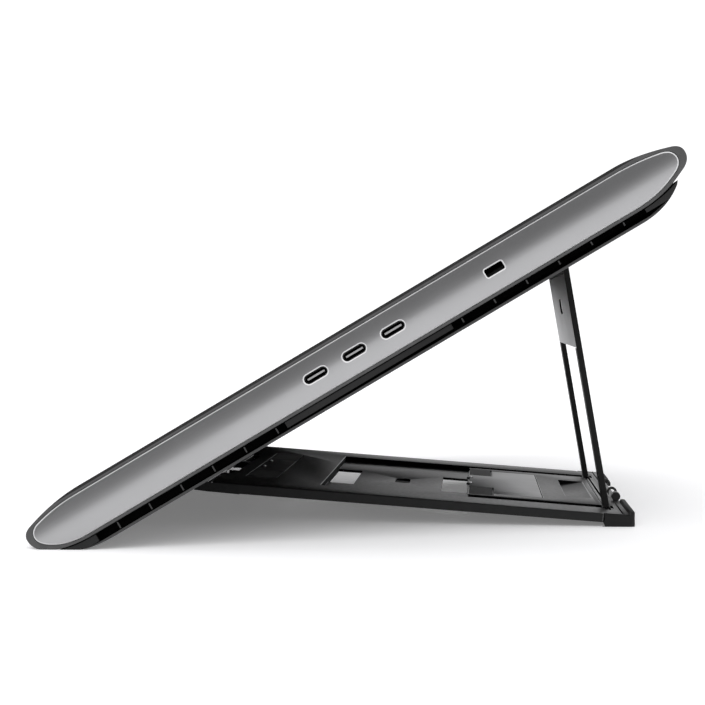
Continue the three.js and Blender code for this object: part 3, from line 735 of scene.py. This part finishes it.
def make_base_plate():
    """The stand's plate, with painted shade on the walls of its cuts, painted highlights on its
    rounded edges and a sloping pocket at its rear.
    """
    thick = (BASE_BOTTOM, BASE_TOP)
    plate = as_object("stand_plate", sweep(plate_profile(BASE_HALF, 0.6), *PLATE_SPAN, "x"))
    carve(plate, [block((154, 162), (-REAR_HALF, REAR_HALF), thick)], "UNION")
    carve(plate, [block((161, 165), (-TAIL_HALF, TAIL_HALF), thick)], "UNION")
    lower_belly(plate)
    add_front_edge(plate)
    for cut in plate_cuts():
        carve(plate, [cut])
    # The rounded strip takes its own slot, painted pale as a painted highlight.
    soften(plate, 0.18, 2, edge_slot=1)

    # Painted shade: the walls of the cuts are painted near-black.
    def on_cut(at, way):
        return abs(at.y) < 110 and abs(way.z) < 0.3 and at.z < 0.7

    # The pocket's floor and lower walls are painted in the frame's coating, a tone apart from the
    # deck, standing in for the shading in the pocket.
    def in_pocket(at, _):
        return 143 < at.x < POCKET["rear"] and abs(at.y) < POCKET["half"] and at.z < 0.65

    paint_where(plate, 0, lambda at, _: at.z < UNDERSIDE)
    paint_where(plate, 2, on_cut)
    paint_where(plate, 3, in_pocket)
    paint(plate, DECK, DECK_EDGE_HIGHLIGHT, PAINTED_SHADE, FRAME)
    return settle(plate, BASE, "base", "base_metal", "base_plate")


def make_foot(side):
    """A rubber shoe on the plate's rear corner, level with the table, with a raised heel."""
    word = "right" if side < 0 else "left"
    front, rear, outer, inner = 91.1, 102.7, BASE_HALF, 56.5
    sole, deck, lip_top, heel_front = 1.3, 4.5, 5.8, 98.5
    span = sorted((side * inner, side * outer))
    cheek_span = sorted((side * (outer - 2.2), side * outer))
    cheek = Outline(front, 5.2).line(front, 0.6).curve(front, 0, front + 0.6, 0, 5)
    cheek.line(rear - 0.6, 0).curve(rear, 0, rear, 0.6, 4).line(rear, deck)
    foot = as_object(f"heel_{word}", sweep(cheek.closed(), *cheek_span))
    carve(foot, [block((front + 0.4, rear), span, (0, sole))], "UNION")
    heel = [(heel_front, 0), (rear, 0), (rear, deck), (heel_front, 4.8)]
    carve(foot, [sweep(heel, *span)], "UNION")
    lip = Outline(rear - 2.3, 4).line(rear, 4).line(rear, 5.2)
    lip.curve(rear, lip_top, rear - 0.6, lip_top, 4).line(rear - 1.5, lip_top)
    lip.curve(rear - 2.1, lip_top, rear - 2.3, 4.6, 4)
    carve(foot, [sweep(lip.closed(), *span)], "UNION")
    plan = rounded((front - 9 + rear) / 2, side * (outer + inner) / 2, rear - front + 9, 59, 1.6)
    carve(foot, [sweep(plan, -1, 9, "z")], "INTERSECT")
    soften(foot, 0.22, 2)
    paint_where(foot, 1, lambda at, _: at.z > 4.75 and at.x > rear - 2.4)
    paint_where(foot, 2, lambda at, way: way.z > 0.7 and at.z > 4.2 and at.x < rear - 2.5)
    paint(foot, FOOT, PAD, DECK)
    return settle(foot, Matrix(), "base", "foot_rubber", f"rear_foot_{word}")


def make_screw(name, u, y):
    """A small domed screw with a cross recess, in a black collar; its domed top is painted pale, a
    painted highlight.
    """
    recess = (1.5, 2)
    head = Outline(0, 0.2).line(1.5, 0.2).line(1.5, 1.0).line(0.75, 1.1)
    head.line(0.7, 1.3).curve(0.65, 1.65, 0, 1.7, 6)
    made = bmesh.new()
    points = [made.verts.new(Vector((x, 0, z)) * MM) for x, z in head.points]
    edges = [made.edges.new(pair) for pair in zip(points, points[1:])]
    bmesh.ops.spin(
        made,
        geom=points + edges,
        cent=(0, 0, 0),
        axis=(0, 0, 1),
        angle=2 * math.pi,
        steps=28,
        use_merge=True,
    )
    bmesh.ops.remove_doubles(made, verts=made.verts, dist=0.001 * MM)
    bmesh.ops.recalc_face_normals(made, faces=made.faces)
    screw = as_object(f"{name}_head", made)
    carve(screw, [block((-0.4, 0.4), (-0.1, 0.1), recess)])
    carve(screw, [block((-0.1, 0.1), (-0.4, 0.4), recess)])
    smooth(screw)
    # Painted highlight: above the collar the dome is painted pale.
    paint_where(screw, 1, lambda at, _: at.z < 1.08)
    paint(screw, SCREW_HIGHLIGHT, BLACK)
    screw.data.transform(Matrix.Translation(Vector((u, y, 0)) * MM))
    return settle(screw, BASE, "base", "steel", name)


SCREW_ENDS = (("rear", 103.3), ("front", 15.0))
SCREW_Y = 16.3

# ---- Prop ---------------------------------------------------------------------------------

LEG_HALF_THICK = 1.15
CROSS_THICK = 0.9
CROSS_TOP = 94.9


def make_cross_plate():
    """The plate between the legs, painted grey, in part a painted reflection, with painted
    highlights on its edges, painted shade in its slot and a black rubber strip on its top edge.
    """
    thick = (-LEG_HALF_THICK, -LEG_HALF_THICK + CROSS_THICK)
    plate = as_object("prop_plate", block(thick, (-87.1, 87.1), (65.2, CROSS_TOP)))
    carve(plate, [block(thick, (-74, 74), (90, 96.3))], "UNION")
    carve(plate, [sweep(rounded(0, 82, 24, 6.5), -3, 3, "x")])
    soften(plate, 0.12, 1, edge_slot=1)

    # Painted shade: the slot's walls are painted near-black.
    def in_slot(at, way):
        return abs(at.y) < 13 and 78 < at.z < 86 and abs(way.x) < 0.5

    paint_where(plate, 2, in_slot)
    paint_where(plate, 3, lambda at, _: at.z > CROSS_TOP + 0.05)
    paint(plate, CROSS, PANEL_EDGE_HIGHLIGHT, PAINTED_SHADE, PAD)
    return settle(plate, PROP, "prop", "grey_plate", "prop_cross_plate")


# ---- Carried-over CAD nodes ---------------------------------------------------------------


def finish_node(name, made, edge):
    """A better finish, and rounded edges where asked, on a CAD node that keeps its shape."""
    node = frame["nodes"][name]
    node.data.materials.clear()
    node.data.materials.append(made)
    if not edge:
        return
    weld = node.modifiers.new("weld", "WELD")
    weld.merge_threshold = 0.002 * MM
    flat = node.modifiers.new("flat", "DECIMATE")
    flat.decimate_type = "DISSOLVE"
    flat.angle_limit = math.radians(1)
    bevel = node.modifiers.new("soften", "BEVEL")
    bevel.width = edge * MM
    bevel.segments = 2
    bevel.limit_method = "ANGLE"
    bevel.angle_limit = math.radians(35)
    bevel.use_clamp_overlap = False
    bevel.harden_normals = True


# Each node's material, and how far its edges are rounded.
FINISHES = {
    "base_hinge_pin": (DARK_STEEL, 0.2),
    "slot_backing": (PAD, 0.1),
    "rear_tongue_panel": (PLATE, 0.12),
    "front_tongue_panel": (GREY_PLASTIC_AND_HIGHLIGHT, 0.12),
    "prop_hinge_rod": (DARK_STEEL, 0.1),
    "spring_clip_middle": (FRAME, 0.15),
    "spring_clip_left": (FRAME, 0.15),
    "spring_clip_right": (FRAME, 0.15),
    "rear_pad_right": (PAD, 0.1),
    "rear_pad_left": (PAD, 0.1),
    "front_pad_right": (PAD, 0.1),
    "front_pad_left": (PAD, 0.1),
    "prop_leg_right": (LEG, 0.2),
    "prop_leg_left": (LEG, 0.2),
    "catch_bracket": (FRAME, 0.2),
    "lock_slot_insert": (BLACK, 0.1),
    "power_button": (FRAME, 0.2),
    "volume_up_button": (FRAME, 0.2),
    "volume_down_button": (FRAME, 0.2),
    "hinge_bracket_right": (DARK_STEEL, 0.2),
    "hinge_bracket_left": (DARK_STEEL, 0.2),
    "display_panel": (GLASS, 0.0),
    "digitizer_board": (BOARD, 0.0),
    "mainboard": (BOARD, 0.0),
    "heat_pipe": (COPPER, 0.4),
    "battery_pack_right": (CELL, 0.6),
    "battery_pack_left": (CELL, 0.6),
    "fan_housing_right": (BLACK, 0.2),
    "fan_housing_left": (BLACK, 0.2),
    "fan_rotor_right": (BLACK, 0.1),
    "fan_rotor_left": (BLACK, 0.1),
    "usb_c_tongue_1": (TONGUE, 0.1),
    "usb_c_tongue_2": (TONGUE, 0.1),
    "usb_c_tongue_3": (TONGUE, 0.1),
}

make_chassis()
make_panel(-1)
make_panel(1)
make_cover()
make_glass()
for index, port in enumerate(USB_PORTS):
    make_port(index + 1, port)
make_base_plate()
for end, u in SCREW_ENDS:
    make_screw(f"{end}_screw_right", u, -SCREW_Y)
    make_screw(f"{end}_screw_left", u, SCREW_Y)
make_cross_plate()
make_foot(-1)
make_foot(1)
for node_name, (finish, edge_width) in FINISHES.items():
    finish_node(node_name, finish, edge_width)

# ---- Stage, light and camera --------------------------------------------------------------

CAMERA_AT = Vector((41.6, -978.0, 82.0)) * MM
LOOK_AT = Vector((-11.6, 0.0, 64.41)) * MM
SENSOR = 36
LENS = 115


def make_floor():
    """A plain pale table, which glows a little so that it stays white in the picture."""
    mesh = bpy.data.meshes.new("floor")
    reach = 12
    corners = [(-reach, -reach, 0), (reach, -reach, 0), (reach, reach, 0), (-reach, reach, 0)]
    mesh.from_pydata(corners, [], [(0, 1, 2, 3)])
    floor = new_object("floor", mesh)
    s = Shader("floor_paint", 0.6)
    s.set("Base Color", s.ramp(s.noise(0.6, 1), 0.90, 0.92))
    s.surface.inputs["Emission Color"].default_value = (1, 1, 1, 1)
    s.surface.inputs["Emission Strength"].default_value = 0.17
    floor.data.materials.append(s.material)


def make_key_light():
    """One wide, soft light from the front and above. Glossy faces don't mirror it."""
    data = bpy.data.lights.new("key_light", "SUN")
    data.angle = math.radians(50)
    data.energy = 3.3
    light = bpy.data.objects.new("key_light", data)
    bpy.context.scene.collection.objects.link(light)
    light.rotation_euler = (math.radians(60), 0, 0)
    light.visible_glossy = False


def ramp_of(nodes, links, value, stops):
    """A colour ramp through greys, driven by a value."""
    ramp = nodes.new("ShaderNodeValToRGB")
    elements = ramp.color_ramp.elements
    elements[0].position, elements[0].color = stops[0][0], colour(stops[0][1])
    elements[1].position, elements[1].color = stops[-1][0], colour(stops[-1][1])
    for position, grey in stops[1:-1]:
        elements.new(position).color = colour(grey)
    links.new(value, ramp.inputs["Fac"])
    return ramp.outputs["Color"]


def make_world():
    """White behind the object. In front of it, dark flags stand above the bright table."""
    world = bpy.data.worlds.new("studio")
    bpy.context.scene.world = world
    world.use_nodes = True
    nodes, links = world.node_tree.nodes, world.node_tree.links
    coords = nodes.new("ShaderNodeTexCoord")
    split = nodes.new("ShaderNodeSeparateXYZ")
    links.new(coords.outputs["Generated"], split.inputs["Vector"])
    height = split.outputs["Z"]
    behind = ramp_of(nodes, links, height, ((0.0, 1.15), (0.3, 1.15), (0.6, 0.7), (1.0, 0.8)))
    ahead = ramp_of(
        nodes, links, height, ((0.0, 0.75), (0.1, 0.48), (0.25, 0.3), (0.45, 0.22), (0.85, 0.8))
    )
    share = nodes.new("ShaderNodeMapRange")
    share.inputs["From Min"].default_value = -0.25
    share.inputs["From Max"].default_value = 0.15
    links.new(split.outputs["Y"], share.inputs["Value"])
    mix = nodes.new("ShaderNodeMixRGB")
    links.new(share.outputs["Result"], mix.inputs["Fac"])
    links.new(ahead, mix.inputs["Color1"])
    links.new(behind, mix.inputs["Color2"])
    links.new(mix.outputs["Color"], nodes["Background"].inputs["Color"])
    nodes["Background"].inputs["Strength"].default_value = 1.0
    bpy.context.scene.view_settings.view_transform = "Standard"


def make_camera():
    """A long lens beside the tablet's right edge, a little above the table."""
    data = bpy.data.cameras.new("camera")
    data.sensor_width = SENSOR
    data.lens = LENS
    data.clip_start, data.clip_end = 0.05, 60
    camera = bpy.data.objects.new("camera", data)
    bpy.context.scene.collection.objects.link(camera)
    camera.location = CAMERA_AT
    camera.rotation_mode = "QUATERNION"
    camera.rotation_quaternion = (LOOK_AT - CAMERA_AT).to_track_quat("-Z", "Y")
    bpy.context.scene.camera = camera


make_floor()
make_world()
make_key_light()
make_camera()
